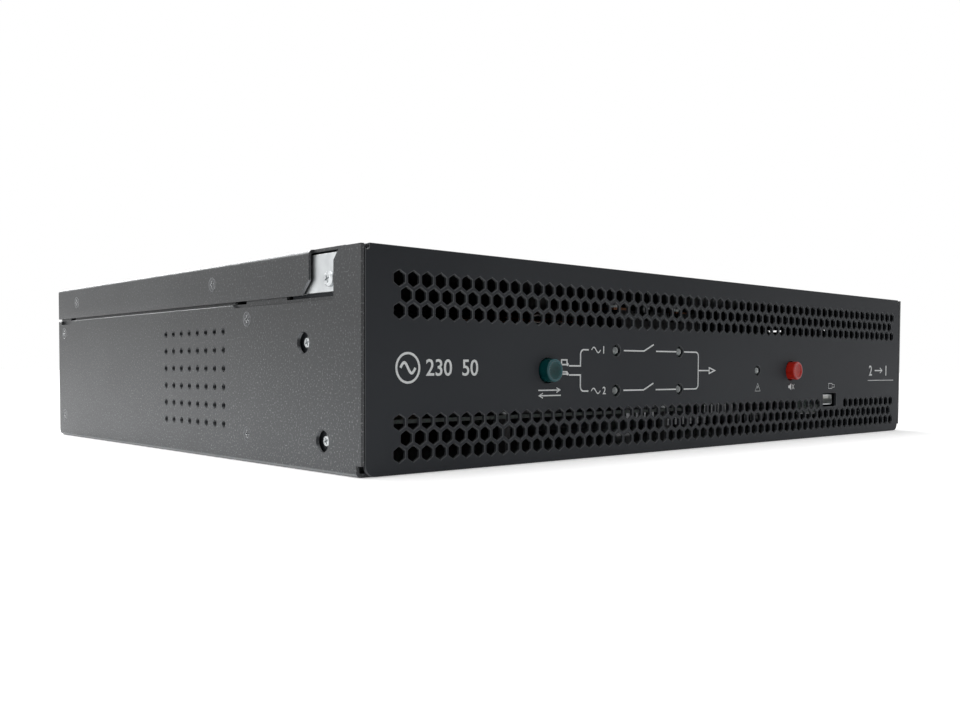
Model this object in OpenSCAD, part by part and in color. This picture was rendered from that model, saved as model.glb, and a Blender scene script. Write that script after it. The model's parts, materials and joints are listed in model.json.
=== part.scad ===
/* [Enclosure] */
// Width over the two side walls
body_w = 440; // [430:1:450]
// Depth from the front face to the back edge
body_d = 303; // [295:1:340]
// Height from the base to the top of the cover
body_h = 86; // [84:0.5:92]
// Thickness of the chassis sheet
wall_t = 1.5; // [1:0.1:2]
// Outer radius of the folds
bend_r = 2.2; // [2:0.1:3]
// Thickness of the cover sheet
cover_t = 1.2; // [0.8:0.1:1.5]
// Height of the cover's side lips
lip_h = 17.5; // [16:0.5:20]
// Distance from the front face to the lips
lip_back = 34; // [30:0.5:36]
// Gap between a lip and the wall below it
lip_gap = 1.2; // [0.8:0.1:2]
// Length of the wall that reaches full height at the front
cheek_l = 17.3; // [16:0.1:20]
// Chamfer at the top of that stretch
cheek_chamfer = 4; // [2:0.5:5]

/* [Front panel] */
// Thickness of the front panel
panel_t = 1.5; // [1.2:0.1:2]
// Gap between the front panel and each side wall
panel_gap = 0.5; // [0.3:0.1:0.9]
// Radius of the panel's lower corners
panel_corner = 4.5; // [2:0.5:6]
// Depth of the panel's side flanges
flange_l = 50; // [48:1:58]
// Width of a vent hexagon across its flats
hex_af = 5.5; // [4:0.1:5.8]
// Distance between hexagons in a row
hex_pitch = 6.83; // [6.5:0.01:7.2]
// Distance between rows of hexagons
hex_row = 6.05; // [5.8:0.05:6.2]
// Bare margin at each end of the vents
vent_margin = 15; // [14:0.5:20]
// How far the vents sit right of the middle
hex_shift = 2.8; // [0:0.1:4]
// Distance from the top down to the middle row of the upper vent
upper_vent_drop = 18.25; // [17:0.25:19]
// Height of the middle row of the lower vent
lower_vent_z = 13.9; // [13:0.1:14.5]

/* [Controls] */
// Height of the buttons and the fault light
control_z = 39.5; // [38:0.1:41]
// Position of the transfer button across the panel
transfer_x = -121; // [-123:0.5:-118]
// Position of the silence button across the panel
silence_x = 81; // [78:0.5:90]
// Diameter of a button cap
button_d = 10; // [8:0.5:11]
// How far a button stands out of the panel
button_out = 4.5; // [3.5:0.1:6]
// Travel of a button
button_travel = 2.5; // [1.5:0.1:3]
// Position of the source lights across the panel
source_light_x = -74.7; // [-78:0.1:-70]
// Position of the output lights across the panel
output_light_x = -25.6; // [-30:0.1:-22]
// Position of the fault light across the panel
fault_light_x = 46; // [40:0.5:52]
// Height of the two light rows above and below the buttons
light_dz = 9.2; // [8.5:0.1:10]
// Diameter of a light
light_d = 4.9; // [3:0.1:5]
// Width of the printed lines
line_w = 0.65; // [0.4:0.05:1]
// Thickness of the printed lines
ink_t = 0.12; // [0.1:0.01:0.15]
// Position of the USB socket across the panel
usb_x = 126.4; // [122:0.1:128]
// Height of the USB socket
usb_z = 22.2; // [22:0.1:23]
// Width of the USB cut-out
usb_w = 16.3; // [15:0.1:17]
// Height of the USB cut-out
usb_h = 8.1; // [7.6:0.1:8.4]
// Distance of the front board behind the panel's face
board_back = 14; // [13:0.1:16]
// Thickness of the circuit boards
board_t = 1.6; // [1:0.1:2]

/* [Side walls] */
// Diameter of a side vent hole
vent_d = 3.2; // [2.5:0.1:4]
// Distance between side vent holes
vent_pitch = 8.15; // [7.5:0.05:8.6]
// Columns of side vent holes
vent_cols = 8; // [4:1:8]
// Rows of side vent holes
vent_rows = 6; // [3:1:6]
// Distance from the front face to the first column
vent_back = 102; // [100:1:110]
// Height of the lowest row
vent_z = 15.4; // [14:0.5:18]
// Head diameter of the countersunk screws
sink_d = 6.4; // [5.5:0.1:7]
// Diameter of the access holes
access_d = 8.6; // [7.5:0.1:9]

/* [Power parts] */
// Width of the heatsink
sink_w = 182; // [170:1:190]
// Length of the heatsink
sink_l = 135; // [125:1:140]
// Distance from the top of the cover down to the heatsink's face
sink_drop = 34; // [32:0.5:40]
// Thickness of the heatsink's base
sink_base = 8; // [5:0.5:10]
// Thickness of a fin
fin_t = 1.6; // [1:0.1:2]
// Number of fins
fin_count = 22; // [12:1:26]
// Height of a thyristor module
module_h = 24; // [20:0.5:26]
// Width of the copper bars
bar_w = 12; // [10:0.5:13]
// Thickness of the copper bars
bar_t = 2; // [1.5:0.1:3]

/* [Rear panel] */
// Size of the square fans
fan_size = 60; // [50:1:62]
// Depth of the fans
fan_l = 25; // [20:1:28]
// Distance from a side of the body to the middle of its fan
fan_inset = 40; // [38:1:44]
// Blades on a fan
blade_count = 7; // [5:1:9]
// Width of a breaker
breaker_w = 38; // [34:1:40]
// Height of a breaker
breaker_h = 52; // [46:1:56]
// Depth of a breaker behind the rear panel
breaker_l = 58; // [50:1:60]
// Swing of a breaker handle
handle_swing = 40; // [30:1:45]
// Bore of the cable glands
gland_bore = 14; // [10:0.5:16]
// Distance between cable glands
gland_pitch = 38; // [37:0.5:40]
// How far the cable glands stand out of the back
gland_out = 25; // [22:0.5:30]

/* [Hidden] */
$fn = 48;

eps = 0.02;
seat = 0.2;
half_w = body_w/2;
inner_w = half_w - wall_t;
// The frame's middle lies between the button tips and the gland tips
front_y = button_out - (button_out + body_d + gland_out)/2;
function back(d) = front_y + d;

// Cover and wall heights
lip_z = body_h - lip_h;
wall_h = lip_z - lip_gap;
lining_h = body_h - cover_t - 0.5;
slot_drop = 1.5;
// Notch in the wall's upper edge at the back
notch_front = body_d - 19;
notch_back = body_d - 4.6;
notch_drop = 2.2;
// Relief of the front panel's upper corners
corner_r = 1.9;
// Finger guard cut into the rear panel
grille_rings = [10:5:25];
grille_gap = 3.8;
grille_spoke = 3;
// Panel left behind the edges of a breaker and of the card plate
breaker_rim = 3;
card_rim = 5;
slot_end = 92.5;
pocket_front = 84;
cheek_top = body_h - 0.7;
lining_front = flange_l + 2;
lining_back = body_d - 21;
rear_in = body_d - panel_t - seat;
rear_flange = 13;
panel_half = inner_w - panel_gap;
panel_z = 0.3;
panel_top = body_h - 0.3;
tab_half = panel_half - 1.1;
cover_front = 13.2;
lip_chamfer = 5.7;
rear_top = body_h - cover_t - 0.1;

// Screw places on each side: distance behind the face, height
lip_screw_z = body_h - lip_h/2;
lip_screws = [[112, lip_screw_z], [body_d - 28.5, lip_screw_z]];
wall_screws = [[81.5, lip_z - 7.7], [81.5, 12.2]];
rear_screws = [[body_d - 8.6, lip_z - 8.3], [body_d - 8.6, 12.2]];
access_holes = [[38, 50.1], [24.8, 12.3]];
bracket_screw = [22.1, body_h - 12.1];

// Hexagon vent
hex_r = hex_af/sqrt(3);
hex_count = floor((body_w - 2*vent_margin)/hex_pitch) + 1;
hex_x0 = hex_shift - (hex_count - 1)/2*hex_pitch;
usb_margin = 2.5;
lights = [
    [source_light_x, control_z + light_dz], [source_light_x, control_z - light_dz],
    [output_light_x, control_z + light_dz], [output_light_x, control_z - light_dz],
    [fault_light_x, control_z]
];
light_clear = 0.35;
blade_angle = 22.5;
blade_len = 8.1;
button_clear = 0.6;
switch_l = 6;
switch_front = board_back - switch_l;
cap_back = switch_front - button_travel - 0.3;
plunger_r = 2;
plunger_clear = 0.15;
pillar_r = 2.75/cos(30);
front_board_x = [transfer_x - 18, usb_x + 25.6];
front_board_z = [control_z - 15.5, control_z + 17.5];
pillar_inset = 6;
pillar_places = [
    for (x = [front_board_x[0] + pillar_inset, 12, front_board_x[1] - pillar_inset])
    for (z = [front_board_z[0] + 4, front_board_z[1] - 4]) [x, z]
];
screw_hole_r = 1.6;
thread_r = 1.45;
buzzer_x = silence_x - 23;
buzzer_r = 6;
buzzer_h = 9.5;

// Control board
board_z = 17.5;
deck_z = board_z + board_t;
board_x = -half_w + 15;
sink_x = half_w - 198;
board_edge = 7;
control_box = [board_x, sink_x - 5, 28, 178];
control_pillars = [
    for (x = [board_x + board_edge, board_x + 92, sink_x - 14])
    for (d = [control_box[2] + board_edge, control_box[3] - board_edge]) [x, d]
];
transformer_x = board_x + 9;
core_w = 45;
core_l = 22;
core_h = 36;
winding_l = 8;
relay_x = board_x + 73;
relay_w = 30;
relay_l = 28;
relay_h = 26;
cap_x = board_x + 121;
cap_step = 26;
cap_r = 9;
cap_h = 30;
chip_x = board_x + 125;
chip_w = 18;
header_x = board_x + 101;
header_w = 28;
driver_x = board_x + 161;
driver_w = 14;
pole_x = board_x + 98;
pole_w = 9;
pole_l = 12;
ribbon_x = board_x + 104;
ribbon_w = 22;

// Heatsink and modules
sink_z = body_h - sink_drop;
sink_back = body_d - 98;
sink_front = sink_back - sink_l;
leg_t = 3;
module_l = 94;
module_w = 34;
terminal_step = 32;
module_x = [sink_x + 11, sink_x + 84];
module_back = [sink_front + 32, sink_front + 97];
bar_z = sink_z + module_h;

// Rear panel
breaker_x = [sink_x + 26, sink_x + 68];
breaker_z = 43;
breaker_front = rear_in - breaker_l;
breaker_low = breaker_z - breaker_h/2 + 5;
breaker_high = breaker_z + breaker_h/2 - 11;
handle_z = breaker_z;
handle_back = body_d + 1.5;
handle_clear = 0.08;
gland_x = [for (i = [0:2]) sink_x - 16 - i*gland_pitch];
gland_z = 24;
gland_thread_r = 12;
gland_hex = 31;
fan_x = half_w - fan_inset;
fan_z = body_h/2;
fan_front = rear_in - fan_l;
fan_r = fan_size/2 - 1.5;
hub_r = fan_size/5;
blade_gap = 0.8;
shaft_r = 1.5;
shaft_clear = 0.05;
outlet_x = sink_x + 108;
outlet_w = 27;
outlet_h = 22;
outlet_rim = 3;
pin_gap = 8;
outlet_z = [27, 60];
card_x = -half_w + 100;
card_w = 44;
card_h = 30;
card_z = 58;
stud_x = -half_w + 150;
stud_z = body_h - 20;
stud_r = 3;
block_front = body_d - 65;
wire_runs = [body_d - 75, body_d - 84];
wire_r = 2.3;
sensor_x = [sink_x + 36, sink_x + 48];
block_l = 24;
block_h = 40;
sensor_r = 12;

// Shared shapes

// A profile drawn as x across and y up, run from one depth to another
module along_y(d0, d1) {
    translate([0, back(d1), 0]) rotate([90, 0, 0]) linear_extrude(d1 - d0) children();
}

// A profile drawn as depth and height, run across from x0 to x1
module along_x(x0, x1) {
    translate([x0, front_y, 0]) rotate([90, 0, 90]) linear_extrude(x1 - x0) children();
}

module block(x0, x1, d0, d1, z0, z1) {
    translate([x0, back(d0), z0]) cube([x1 - x0, d1 - d0, z1 - z0]);
}

module rod_y(x, z, d0, d1, r) {
    translate([x, back(d1), z]) rotate([90, 0, 0]) cylinder(h=d1 - d0, r=r);
}

module rod_x(d, z, x0, x1, r) {
    translate([x0, back(d), z]) rotate([0, 90, 0]) cylinder(h=x1 - x0, r=r);
}

// Both sides: drawn on the left and repeated on the right
module both_sides() {
    children();
    mirror([1, 0, 0]) children();
}

// What a rounded corner at the origin leaves over
module corner_waste(r) {
    difference() {
        translate([-1, -1]) square(r + 1);
        translate([r, r]) circle(r);
    }
}

// Rectangle standing on the base line, with rounded lower and upper corners
module standing_rect(w, h, low_r, high_r) {
    difference() {
        translate([-w/2, 0]) square([w, h]);
        for (side = [0, 1]) mirror([side, 0]) {
            if (low_r > 0) translate([-w/2, 0]) corner_waste(low_r);
            if (high_r > 0) translate([-w/2, h]) mirror([0, 1]) corner_waste(high_r);
        }
    }
}

module round_rect(w, h, r) {
    translate([0, -h/2]) standing_rect(w, h, r, r);
}

// Countersunk hole from the left face inwards
module sink_hole(d, z) {
    translate([-half_w, back(d), z]) rotate([0, 90, 0]) {
        translate([0, 0, -eps]) cylinder(h=wall_t + 2*eps, r1=sink_d/2, r2=sink_d/2 - wall_t);
        cylinder(h=wall_t*3, r=sink_d/2 - wall_t - eps);
    }
}

// Countersunk screw with a cross recess, its head flush with the left face
module sink_screw(d, z) {
    translate([-half_w + 0.05, back(d), z]) rotate([0, 90, 0]) difference() {
        union() {
            cylinder(h=1.3, r1=sink_d/2 - 0.25, r2=sink_d/2 - 1.45);
            cylinder(h=7, r=sink_d/2 - wall_t - 0.25);
        }
        for (a = [0, 90]) rotate([0, 0, a]) translate([-1.5, -0.3, -1]) cube([3, 0.6, 1.9]);
    }
}

// Pan-head screw along +Z with a cross recess
module pan_screw(head_r, head_h, shank_r, shank_l) {
    difference() {
        union() {
            cylinder(h=head_h*0.55, r=head_r);
            translate([0, 0, head_h*0.55]) cylinder(h=head_h*0.45, r1=head_r, r2=head_r*0.72);
            translate([0, 0, -shank_l]) cylinder(h=shank_l + eps, r=shank_r);
        }
        for (a = [0, 90]) rotate([0, 0, a + 20]) {
            translate([-head_r*0.5, -0.3, head_h*0.4]) cube([head_r, 0.6, head_h]);
        }
    }
}

// Enclosure

module tray_section() {
    difference() {
        standing_rect(body_w, wall_h, bend_r, 0.7);
        translate([0, wall_t]) standing_rect(body_w - 2*wall_t, body_h, bend_r - wall_t, 0);
    }
}

module cheek() {
    along_x(-half_w, -inner_w) polygon([
        [0, bend_r], [cheek_l, bend_r], [cheek_l, cheek_top - cheek_chamfer*1.2],
        [cheek_l - cheek_chamfer, cheek_top], [0, cheek_top]
    ]);
}

// Strip welded inside the wall, which carries the cover's lip
module lining() {
    difference() {
        block(-inner_w - eps, -inner_w + wall_t, lining_front, lining_back, wall_h - 8, lining_h);
        for (p = lip_screws) rod_x(p[0], p[1], -half_w, -half_w + 3*wall_t, sink_d/2 - wall_t);
        // dark pocket behind the end of the slot
        along_x(-half_w, -half_w + 3*wall_t) polygon([
            [pocket_front, wall_h - slot_drop], [slot_end, wall_h - slot_drop],
            [slot_end + 3, lip_z + 1], [pocket_front, lip_z + 1]
        ]);
        // deeper gap under the lip behind the slot
        block(-half_w, -inner_w + wall_t/2, slot_end + 2, lining_back + 1, wall_h - seat, lip_z + 1);
    }
}

module wall_edge_cuts() {
    along_x(-half_w - 1, -inner_w - eps) {
        polygon([
            [cheek_l, wall_h - slot_drop], [slot_end, wall_h - slot_drop],
            [slot_end + 2.5, wall_h + 1], [cheek_l, wall_h + 1]
        ]);
        polygon([
            [notch_front - 2.5, wall_h + 1], [notch_front, wall_h - notch_drop],
            [notch_back, wall_h - notch_drop], [notch_back, wall_h + 1]
        ]);
    }
}

module side_vent() {
    for (i = [0:vent_cols - 1], j = [0:vent_rows - 1]) {
        rod_x(vent_back + i*vent_pitch, vent_z + j*vent_pitch, -half_w - 1, -inner_w + 1, vent_d/2);
    }
}

module chassis() {
    color([0.30, 0.31, 0.32]) difference() {
        union() {
            along_y(0, body_d) tray_section();
            both_sides() {
                cheek();
                lining();
            }
        }
        // the floor starts behind the front panel, and the corners are relieved
        block(-inner_w, inner_w, -1, panel_t + 0.3, -1, bend_r + 1);
        block(-half_w - 1, half_w + 1, -1, 3, -1, panel_corner);
        both_sides() {
            wall_edge_cuts();
            side_vent();
            for (p = concat(wall_screws, rear_screws)) sink_hole(p[0], p[1]);
            for (p = access_holes) rod_x(p[0], p[1], -half_w - 1, -inner_w + 1, access_d/2);
            // rounded lower corner at the back
            along_x(-half_w - 1, -inner_w + 1) translate([body_d, 0]) mirror([1, 0]) corner_waste(bend_r*1.8);
        }
    }
}

module cover_section() {
    difference() {
        translate([0, lip_z]) standing_rect(body_w, lip_h, 0.01, bend_r);
        translate([0, lip_z - 1]) standing_rect(body_w - 2*cover_t, lip_h + 1 - cover_t, 0, bend_r - cover_t);
    }
}

module top_cover() {
    color([0.29, 0.30, 0.31]) difference() {
        along_y(cover_front, body_d) cover_section();
        both_sides() {
            // the lips stop short of the front, with a chamfered corner
            along_x(-half_w - 1, -inner_w + 1) polygon([
                [0, lip_z - 1], [lip_back + lip_chamfer + 1, lip_z - 1], [lip_back, lip_z + lip_chamfer],
                [lip_back, body_h], [0, body_h]
            ]);
            block(-half_w - 1, -half_w + bend_r, 0, lip_back, lip_z, body_h + 1);
            for (p = lip_screws) sink_hole(p[0], p[1]);
        }
    }
}

function hex_blocked(x, z) = abs(x - usb_x) < usb_w/2 + hex_af/2 + usb_margin
    && abs(z - usb_z) < usb_h/2 + hex_r;

module hex_rows(middle_z) {
    for (row = [-1:1], i = [0:hex_count - 1 - (row == 0 ? 1 : 0)]) {
        x = hex_x0 + (i + (row == 0 ? 0.5 : 0))*hex_pitch;
        z = middle_z + row*hex_row;
        if (!hex_blocked(x, z)) translate([x, z]) rotate(90) circle(r=hex_r, $fn=6);
    }
}

module panel_face() {
    difference() {
        translate([0, panel_z]) standing_rect(2*panel_half, panel_top - panel_z, panel_corner, 0);
        hex_rows(body_h - upper_vent_drop);
        hex_rows(lower_vent_z);
        for (x = [transfer_x, silence_x]) translate([x, control_z]) circle(button_d/2 + button_clear);
        for (p = lights) translate(p) circle(light_d/2 + light_clear);
        translate([usb_x, usb_z]) round_rect(usb_w, usb_h, 0.8);
        for (side = [0, 1]) mirror([side, 0]) translate([-panel_half, panel_top]) {
            circle(corner_r);
            translate([corner_r/2, -corner_r*0.75]) circle(corner_r/2);
        }
    }
}

module front_panel() {
    color([0.17, 0.18, 0.19]) along_y(0, panel_t) panel_face();
}

// Folds behind the front panel, top and sides
module front_flanges() {
    color([0.17, 0.18, 0.19]) {
        block(-panel_half + 2.4, panel_half - 2.4, panel_t, cover_front - 0.4, panel_top - panel_t, panel_top);
        both_sides() difference() {
            block(-tab_half, -tab_half + wall_t, panel_t, flange_l, 6, body_h - 5);
            for (p = access_holes) rod_x(p[0], p[1], -half_w, -half_w + 8, screw_hole_r);
            rod_x(bracket_screw[0], bracket_screw[1], -half_w, -half_w + 8, screw_hole_r);
        }
    }
}

module fan_grille() {
    difference() {
        for (r = grille_rings) difference() {
            circle(r + grille_gap/2);
            circle(r - grille_gap/2);
        }
        for (a = [45, 135]) rotate(a) square([fan_size, grille_spoke], center=true);
    }
}

module fan_holes() {
    for (x = [-1, 1], z = [-1, 1]) translate([x, z]*(fan_size/2 - 5)) circle(1.8);
}

module rear_panel() {
    color([0.30, 0.31, 0.32]) {
        along_y(rear_in, rear_in + panel_t) difference() {
            translate([0, wall_t + seat]) standing_rect(2*inner_w - 2*seat, rear_top - wall_t - seat, 2, 0);
            for (side = [-1, 1]) translate([side*fan_x, fan_z]) {
                fan_grille();
                fan_holes();
            }
            for (x = breaker_x) translate([x, breaker_z]) {
                square([breaker_w - 2*breaker_rim, breaker_h - 3*breaker_rim], center=true);
            }
            for (x = gland_x) translate([x, gland_z]) circle(gland_thread_r + 0.3);
            for (z = outlet_z) translate([outlet_x, z]) round_rect(outlet_w, outlet_h, 1.5);
            translate([card_x, card_z]) square([card_w - 2*card_rim, card_h - 1.6*card_rim], center=true);
            for (side = [-1, 1]) translate([card_x + side*(card_w/2 - 2.5), card_z]) circle(1.6);
            translate([stud_x, stud_z]) circle(stud_r + 0.3);
        }
    }
}

// Folds of the rear panel, top and sides
module rear_flanges() {
    color([0.30, 0.31, 0.32]) {
        block(-half_w + 14, half_w - 14, rear_in - rear_flange, rear_in, rear_top - wall_t, rear_top);
        both_sides() difference() {
            block(-inner_w + seat, -inner_w + seat + wall_t, rear_in - rear_flange, rear_in, 5, lining_h - 2);
            for (p = rear_screws) rod_x(p[0], p[1], -half_w, -half_w + 8, sink_d/2 - wall_t);
        }
    }
}

// Angle behind the window at the front of a lip
module bracket() {
    plate_x = -tab_half - cover_t - 0.05;
    low = wall_h + 1.7;
    high = body_h - cover_t - 1;
    bracket_front = cover_front + 0.1;
    bracket_back = flange_l - 2;
    difference() {
        union() {
            block(plate_x, plate_x + cover_t, bracket_front, bracket_back, low, high);
            block(plate_x, plate_x + 14, bracket_front, bracket_back, high - cover_t, high);
        }
        rod_x(bracket_screw[0], bracket_screw[1], -half_w, -half_w + 8, screw_hole_r);
    }
}

module left_bracket() {
    color([0.80, 0.82, 0.83]) bracket();
}

module right_bracket() {
    color([0.80, 0.82, 0.83]) mirror([1, 0, 0]) bracket();
}

module countersunk_screws() {
    color([0.35, 0.36, 0.37]) both_sides() {
        for (p = concat(wall_screws, rear_screws, lip_screws)) sink_screw(p[0], p[1]);
    }
}

module pan_screws() {
    color([0.75, 0.76, 0.77]) {
        both_sides() {
            for (p = access_holes) translate([-tab_half - 0.02, back(p[0]), p[1]]) {
                rotate([0, -90, 0]) pan_screw(2.6, 1.3, 1.5, 5);
            }
            translate([-tab_half - cover_t - 0.07, back(bracket_screw[0]), bracket_screw[1]]) {
                rotate([0, -90, 0]) pan_screw(3, 1.6, 1.5, 6);
            }
            for (x = [-1, 1], z = [-1, 1]) {
                translate([fan_x + x*(fan_size/2 - 5), back(rear_in + panel_t), fan_z + z*(fan_size/2 - 5)]) {
                    rotate([-90, 0, 0]) pan_screw(3, 1.8, 1.6, 12);
                }
            }
        }
        for (side = [-1, 1]) translate([card_x + side*(card_w/2 - 2.5), back(rear_in + panel_t + 1.2), card_z]) {
            rotate([-90, 0, 0]) pan_screw(2.9, 2, 1.4, 5);
        }
        for (p = control_pillars) translate([p[0], back(p[1]), deck_z]) pan_screw(2.8, 2, 1.4, 6);
        for (i = [0, 1], k = [0:2]) {
            translate([module_x[i] + 15 + k*terminal_step, back(module_back[i]), bar_z + bar_t]) {
                pan_screw(4.2, 3, 2.4, 8);
            }
        }
    }
}

// Printed diagram

module line_h(x0, x1, z) {
    translate([x0, z - line_w/2]) square([x1 - x0, line_w]);
}

module line_v(x, z0, z1) {
    translate([x - line_w/2, z0]) square([line_w, z1 - z0]);
}

// Quarter turn round a centre, from the angle a on
module turn(x, z, r, a) {
    translate([x, z]) rotate(a) intersection() {
        difference() {
            circle(r + line_w/2);
            circle(r - line_w/2);
        }
        square(r + line_w);
    }
}

// One source's branch, drawn above the axis of the diagram
module branch() {
    corner = 2.2;
    riser = transfer_x + 21;
    merge = output_light_x + 15.6;
    line_h(transfer_x + 13.5, riser + line_w/2, 2);
    line_v(riser, 2, light_dz - corner);
    turn(riser + corner, light_dz - corner, corner, 90);
    line_h(riser + corner, riser + 5.4, light_dz);
    line_h(source_light_x + 5.1, source_light_x + 20.4, light_dz);
    line_h(output_light_x - 19.4, output_light_x - 3.2, light_dz);
    line_h(output_light_x + 3.4, merge - corner, light_dz);
    turn(merge - corner, light_dz - corner, corner, 0);
    line_v(merge, 0, light_dz - corner);
}

module mimic_print() {
    merge = output_light_x + 15.6;
    color([0.86, 0.88, 0.88]) along_y(-ink_t, 0) translate([0, control_z]) {
        branch();
        mirror([0, 1]) branch();
        // open contacts, both raised
        for (z = [-light_dz, light_dz]) translate([source_light_x + 20.2, z]) rotate(blade_angle) {
            translate([0, -line_w/2]) square([blade_len, line_w]);
        }
        line_h(merge, merge + 9.4, 0);
        difference() {
            polygon([[merge + 9.4, 1.9], [merge + 9.4, -1.9], [merge + 15.8, 0]]);
            polygon([[merge + 10, 1.05], [merge + 10, -1.05], [merge + 13.6, 0]]);
        }
        // terminals beside the button: a tall frame and a low one, each with a dot
        for (t = [[4.9, 2.2], [-0.3, -1.9]]) {
            translate([transfer_x + 8.2, t[1]]) difference() {
                square([4.2, t[0] - t[1]]);
                translate([line_w, line_w]) square([4.2 - 2*line_w, t[0] - t[1] - 2*line_w]);
            }
            translate([transfer_x + 12.4, t[1] + 0.4]) circle(0.7);
        }
    }
}

// Buttons and lights

module button_cap(x) {
    r = button_d/2;
    translate([x, back(cap_back), control_z]) rotate([90, 0, 0]) rotate_extrude() polygon([
        [0, 0], [r - 0.8, 0], [r, 0.8], [r, cap_back + button_out - 0.7],
        [r - 0.7, cap_back + button_out], [r - 1.3, cap_back + button_out],
        [r - 1.6, cap_back + button_out - 0.35], [0, cap_back + button_out - 0.35]
    ]);
}

module plunger(x) {
    rod_y(x, control_z, cap_back, switch_front + 1.4, plunger_r);
}

module push_switch(x) {
    difference() {
        union() {
            block(x - 6, x + 6, switch_front + 0.6, board_back, control_z - 6, control_z + 6);
            rod_y(x, control_z, switch_front, switch_front + 1, 3.6);
            for (sx = [-1, 1], sz = [-1, 1]) rod_y(x + sx*4.6, control_z + sz*4.6, switch_front + 0.3, board_back, 0.7);
        }
        rod_y(x, control_z, switch_front - 1, switch_front + 1.4 + button_travel + 0.3, plunger_r + plunger_clear);
    }
}

module light(i) {
    x = lights[i][0];
    z = lights[i][1];
    r = light_d/2;
    translate([x, back(board_back), z]) rotate([90, 0, 0]) rotate_extrude() difference() {
        union() {
            square([r + 0.45, 1]);
            square([r, board_back - r]);
            translate([0, board_back - r]) circle(r);
        }
        translate([-2*r, -1]) square([2*r, board_back + r]);
    }
}

module transfer_button() {
    color([0.03, 0.30, 0.27]) button_cap(transfer_x);
}

module transfer_plunger() {
    color([0.85, 0.85, 0.82]) plunger(transfer_x);
}

module transfer_switch() {
    color([0.10, 0.10, 0.11]) push_switch(transfer_x);
}

module silence_button() {
    color([0.75, 0.10, 0.09]) button_cap(silence_x);
}

module silence_plunger() {
    color([0.85, 0.85, 0.82]) plunger(silence_x);
}

module silence_switch() {
    color([0.10, 0.10, 0.11]) push_switch(silence_x);
}

module led_source_1() {
    color([0.40, 0.43, 0.44]) light(0);
}

module led_source_2() {
    color([0.40, 0.43, 0.44]) light(1);
}

module led_output_1() {
    color([0.40, 0.43, 0.44]) light(2);
}

module led_output_2() {
    color([0.40, 0.43, 0.44]) light(3);
}

module led_fault() {
    color([0.40, 0.43, 0.44]) light(4);
}

module front_board() {
    color([0.05, 0.22, 0.12]) along_y(board_back, board_back + board_t) difference() {
        union() {
            translate([front_board_x[0], front_board_z[0]]) {
                square([front_board_x[1] - front_board_x[0], front_board_z[1] - front_board_z[0]]);
            }
            translate([usb_x - 12, usb_z - 9]) square([24, 12]);
        }
        for (p = pillar_places) translate(p) circle(screw_hole_r);
    }
}

module front_pillars() {
    color([0.72, 0.73, 0.74]) for (p = pillar_places) {
        translate([p[0], back(board_back), p[1]]) rotate([90, 0, 0]) {
            cylinder(h=board_back - panel_t, r=pillar_r, $fn=6);
        }
        rod_y(p[0], p[1], board_back - eps, board_back + board_t + eps, thread_r);
        translate([p[0], back(board_back + board_t), p[1]]) rotate([-90, 0, 0]) cylinder(h=2, r=2.8);
    }
}

module usb_shell() {
    color([0.80, 0.81, 0.82]) difference() {
        along_y(panel_t + 0.7, board_back) translate([usb_x, usb_z]) difference() {
            round_rect(13.2, 5.8, 0.7);
            round_rect(12.4, 5, 0.3);
        }
        for (x = [-3, 3]) block(usb_x + x - 0.8, usb_x + x + 0.8, 5, 9, usb_z - 4, usb_z - 2);
    }
}

module usb_tongue() {
    color([0.90, 0.90, 0.88]) {
        block(usb_x - 5.6, usb_x + 5.6, panel_t + 2.2, board_back - 3, usb_z + 0.6, usb_z + 2.4);
        block(usb_x - 6, usb_x + 6, board_back - 3 - eps, board_back, usb_z - 2.3, usb_z + 2.4);
    }
}

module buzzer() {
    color([0.08, 0.08, 0.09]) difference() {
        rod_y(buzzer_x, control_z, board_back + board_t, board_back + board_t + buzzer_h, buzzer_r);
        rod_y(buzzer_x, control_z, board_back + board_t + buzzer_h - 2.5, board_back + board_t + buzzer_h + 1, buzzer_r/5);
    }
}

// Control electronics

module control_board() {
    color([0.05, 0.25, 0.14]) difference() {
        block(control_box[0], control_box[1], control_box[2], control_box[3], board_z, deck_z);
        for (p = control_pillars) translate([p[0], back(p[1]), board_z - 1]) cylinder(h=4, r=1.6);
    }
}

module board_pillars() {
    color([0.72, 0.73, 0.74]) for (p = control_pillars) translate([p[0], back(p[1]), wall_t]) {
        difference() {
            cylinder(h=board_z - wall_t, r=pillar_r, $fn=6);
            translate([0, 0, board_z - wall_t - 6]) cylinder(h=7, r=1.5);
        }
    }
}

// Laminated core with its winding, soldered to the board
module transformer(d) {
    x1 = transformer_x + core_w;
    difference() {
        union() {
            block(transformer_x, x1, d, d + core_l, deck_z + 2, deck_z + 2 + core_h);
            block(transformer_x + 6, x1 - 6, d - winding_l, d + core_l + winding_l, deck_z + 8, deck_z + core_h - 4);
            block(transformer_x + 3, x1 - 3, d - winding_l - 1, d + core_l + winding_l + 1, deck_z, deck_z + 2 + eps);
        }
        for (x = [transformer_x + 3, x1 - 3], z = [deck_z + 5, deck_z + core_h - 1]) {
            rod_y(x, z, d - 1, d + core_l + 1, 1.5);
        }
    }
}

module transformers() {
    color([0.35, 0.30, 0.22]) for (d = [24, 80]) transformer(control_box[2] + d);
}

module relay(d) {
    difference() {
        block(relay_x, relay_x + relay_w, d, d + relay_l, deck_z, deck_z + relay_h);
        block(relay_x + 2, relay_x + relay_w - 2, d + 2, d + relay_l - 2, deck_z + relay_h - 0.6, deck_z + relay_h + 1);
    }
}

module relays() {
    color([0.10, 0.11, 0.13]) for (d = [22, 76]) relay(control_box[2] + d);
}

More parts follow.
